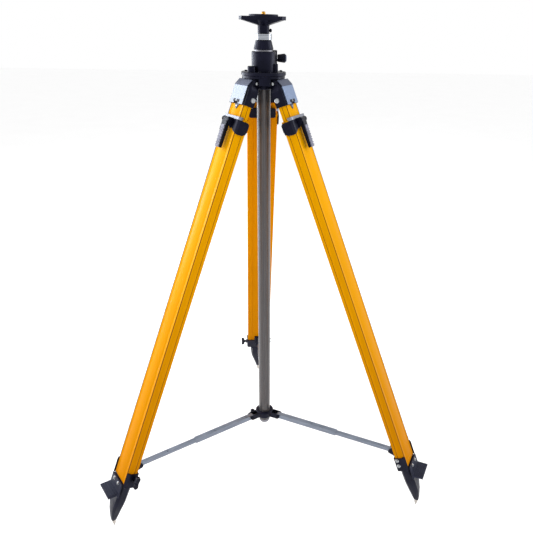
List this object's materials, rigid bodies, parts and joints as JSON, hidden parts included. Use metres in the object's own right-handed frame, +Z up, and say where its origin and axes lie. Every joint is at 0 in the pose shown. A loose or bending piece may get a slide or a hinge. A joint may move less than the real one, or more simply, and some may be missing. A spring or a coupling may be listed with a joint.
{
  "type": "surveying tripod",
  "caption": "Heavy elevating survey tripod with telescopic fibreglass legs, quick clamps, geared centre column, column spreader with struts, step pedals and a lobed instrument plate",
  "frame": {"origin": "on the ground plane under the middle of the bounding box; the centre column stands at x = 0, y = -0.10023", "axes": "+Z up along the centre column, +Y towards the rear leg, +X to the right when the rear leg is away from the viewer"},
  "size_m": [0.8046, 0.6968, 1.1536],
  "materials": {
    "fibreglass": "gloss gel coat",
    "casting": "black powder coat",
    "aluminium": "satin anodised",
    "tube": "grey anodised",
    "steel": "bright",
    "brass": "machined",
    "knob": "moulded",
    "glass": "clear"
  },
  "bodies": {
    "head": {"head_hub": "casting", "guide_tube": "tube", "tube_end_plug": "tube", "gear_housing": "casting", "thrust_washer": "aluminium", "level_housing": "casting", "level_vial": "glass", "hinge_pin_rear": "steel", "hinge_pin_left": "steel", "hinge_pin_right": "steel"},
    "column": {"lift_column": "tube", "column_rack": "steel", "head_plate": "casting", "stop_ring": "aluminium"},
    "centring_screw": {"instrument_screw": "brass"},
    "plate_lock": {"plate_lock_knob": "knob"},
    "column_clamp": {"clamp_sleeve": "casting"},
    "pinion": {"pinion_shaft": "steel", "lift_knob": "knob"},
    "spreader": {"spreader_hub": "casting"},
    "spreader_lock": {"hub_knob": "knob"},
    "leg_rear": {"leg_shoulder_rear": "casting", "shoulder_bolt_rear": "steel", "upper_leg_rear": "fibreglass"},
    "lower_rear": {"lower_leg_rear": "fibreglass", "clamp_body_rear": "casting", "shoe_rear": "casting", "spike_rear": "steel", "step_pedal_rear": "casting"},
    "lever_rear": {"clamp_lever_rear": "knob"},
    "bracket_rear": {"strut_bracket_rear": "casting"},
    "wing_rear": {"wing_knob_rear": "knob"},
    "strut_rear": {"strut_rear": "aluminium"},
    "rod_rear": {"strut_rod_rear": "aluminium"},
    "leg_left": {"leg_shoulder_left": "casting", "shoulder_bolt_left": "steel", "upper_leg_left": "fibreglass"},
    "lower_left": {"lower_leg_left": "fibreglass", "clamp_body_left": "casting", "shoe_left": "casting", "spike_left": "steel", "step_pedal_left": "casting"},
    "lever_left": {"clamp_lever_left": "knob"},
    "bracket_left": {"strut_bracket_left": "casting"},
    "wing_left": {"wing_knob_left": "knob"},
    "strut_left": {"strut_left": "aluminium"},
    "rod_left": {"strut_rod_left": "aluminium"},
    "leg_right": {"leg_shoulder_right": "casting", "shoulder_bolt_right": "steel", "upper_leg_right": "fibreglass"},
    "lower_right": {"lower_leg_right": "fibreglass", "clamp_body_right": "casting", "shoe_right": "casting", "spike_right": "steel", "step_pedal_right": "casting"},
    "lever_right": {"clamp_lever_right": "knob"},
    "bracket_right": {"strut_bracket_right": "casting"},
    "wing_right": {"wing_knob_right": "knob"},
    "strut_right": {"strut_right": "aluminium"},
    "rod_right": {"strut_rod_right": "aluminium"}
  },
  "joints": [
    {"name": "column_lift", "type": "slide", "parent": "head", "child": "column", "axis": [0, 0, 1], "range_m": [0, 0.34]},
    {"name": "pinion_turn", "type": "hinge", "parent": "head", "child": "pinion", "pos_m": [0, -0.07693, 1.062], "axis": [1, 0, 0], "range_deg": [-1625, 0]},
    {"name": "column_clamp_twist", "type": "hinge", "parent": "head", "child": "column_clamp", "pos_m": [0, -0.10023, 1.088], "axis": [0, 0, 1], "range_deg": [0, 60]},
    {"name": "centring_screw_turn", "type": "hinge", "parent": "column", "child": "centring_screw", "pos_m": [0, -0.10023, 1.14], "axis": [0, 0, 1], "range_deg": [0, 360]},
    {"name": "plate_lock_turn", "type": "hinge", "parent": "column", "child": "plate_lock", "pos_m": [0.015, -0.10023, 1.1172], "axis": [1, 0, 0], "range_deg": [0, 360]},
    {"name": "spreader_slide", "type": "slide", "parent": "head", "child": "spreader", "axis": [0, 0, 1], "range_m": [0, 0.09437]},
    {"name": "spreader_lock_turn", "type": "hinge", "parent": "spreader", "child": "spreader_lock", "pos_m": [-0.03, -0.10023, 0.151], "axis": [-1, 0, 0], "range_deg": [0, 360]},
    {"name": "leg_fold_rear", "type": "hinge", "parent": "head", "child": "leg_rear", "pos_m": [0, -0.06473, 1.014], "axis": [-1, 0, 0], "range_deg": [0, 15]},
    {"name": "leg_extend_rear", "type": "slide", "parent": "leg_rear", "child": "lower_rear", "axis": [0, 0.3753, -0.9269], "range_m": [0, 0.6]},
    {"name": "clamp_lever_rear", "type": "hinge", "parent": "lower_rear", "child": "lever_rear", "pos_m": [0, -0.00799, 0.94311], "axis": [1, 0, 0], "range_deg": [0, 110]},
    {"name": "bracket_slide_rear", "type": "slide", "parent": "lower_rear", "child": "bracket_rear", "axis": [0, -0.3753, 0.9269], "range_m": [0, 0.5]},
    {"name": "wing_turn_rear", "type": "hinge", "parent": "bracket_rear", "child": "wing_rear", "pos_m": [-0.045, 0.28595, 0.1451], "axis": [-1, 0, 0], "range_deg": [0, 360]},
    {"name": "strut_swing_rear", "type": "hinge", "parent": "spreader", "child": "strut_rear", "pos_m": [0, -0.05823, 0.15], "axis": [-1, 0, 0], "range_deg": [0, 61.17]},
    {"name": "strut_slide_rear", "type": "slide", "parent": "strut_rear", "child": "rod_rear", "axis": [0, 1, -0.004], "range_m": [-0.14659, 0]},
    {"name": "leg_fold_left", "type": "hinge", "parent": "head", "child": "leg_left", "pos_m": [-0.03074, -0.11798, 1.014], "axis": [0.5, -0.866, 0], "range_deg": [0, 15]},
    {"name": "leg_extend_left", "type": "slide", "parent": "leg_left", "child": "lower_left", "axis": [-0.325, -0.1876, -0.9269], "range_m": [0, 0.6]},
    {"name": "clamp_lever_left", "type": "hinge", "parent": "lower_left", "child": "lever_left", "pos_m": [-0.07989, -0.14636, 0.94311], "axis": [-0.5, 0.866, 0], "range_deg": [0, 110]},
    {"name": "bracket_slide_left", "type": "slide", "parent": "lower_left", "child": "bracket_left", "axis": [0.325, 0.1876, 0.9269], "range_m": [0, 0.5]},
    {"name": "wing_turn_left", "type": "hinge", "parent": "bracket_left", "child": "wing_left", "pos_m": [-0.31195, -0.3323, 0.1451], "axis": [0.5, -0.866, 0], "range_deg": [0, 360]},
    {"name": "strut_swing_left", "type": "hinge", "parent": "spreader", "child": "strut_left", "pos_m": [-0.03637, -0.12123, 0.15], "axis": [0.5, -0.866, 0], "range_deg": [0, 61.17]},
    {"name": "strut_slide_left", "type": "slide", "parent": "strut_left", "child": "rod_left", "axis": [-0.866, -0.5, -0.004], "range_m": [-0.14659, 0]},
    {"name": "leg_fold_right", "type": "hinge", "parent": "head", "child": "leg_right", "pos_m": [0.03074, -0.11798, 1.014], "axis": [0.5, 0.866, 0], "range_deg": [0, 15]},
    {"name": "leg_extend_right", "type": "slide", "parent": "leg_right", "child": "lower_right", "axis": [0.325, -0.1876, -0.9269], "range_m": [0, 0.6]},
    {"name": "clamp_lever_right", "type": "hinge", "parent": "lower_right", "child": "lever_right", "pos_m": [0.07989, -0.14636, 0.94311], "axis": [-0.5, -0.866, 0], "range_deg": [0, 110]},
    {"name": "bracket_slide_right", "type": "slide", "parent": "lower_right", "child": "bracket_right", "axis": [-0.325, 0.1876, 0.9269], "range_m": [0, 0.5]},
    {"name": "wing_turn_right", "type": "hinge", "parent": "bracket_right", "child": "wing_right", "pos_m": [0.35695, -0.25435, 0.1451], "axis": [0.5, 0.866, 0], "range_deg": [0, 360]},
    {"name": "strut_swing_right", "type": "hinge", "parent": "spreader", "child": "strut_right", "pos_m": [0.03637, -0.12123, 0.15], "axis": [0.5, 0.866, 0], "range_deg": [0, 61.17]},
    {"name": "strut_slide_right", "type": "slide", "parent": "strut_right", "child": "rod_right", "axis": [0.866, -0.5, -0.004], "range_m": [-0.14659, 0]}
  ],
  "couplings": [
    {"joint": "pinion_turn", "follows": "column_lift", "rad_per_m": -83.333},
    {"joint": "spreader_slide", "follows": "leg_fold_rear", "m_per_rad": 0.35856},
    {"joint": "strut_swing_rear", "follows": "leg_fold_rear", "ratio": 4.0764},
    {"joint": "strut_slide_rear", "follows": "leg_fold_rear", "m_per_rad": -0.55918},
    {"joint": "leg_fold_left", "follows": "leg_fold_rear", "ratio": 1},
    {"joint": "strut_swing_left", "follows": "leg_fold_rear", "ratio": 4.0764},
    {"joint": "strut_slide_left", "follows": "leg_fold_rear", "m_per_rad": -0.55918},
    {"joint": "leg_fold_right", "follows": "leg_fold_rear", "ratio": 1},
    {"joint": "strut_swing_right", "follows": "leg_fold_rear", "ratio": 4.0764},
    {"joint": "strut_slide_right", "follows": "leg_fold_rear", "m_per_rad": -0.55918}
  ]
}
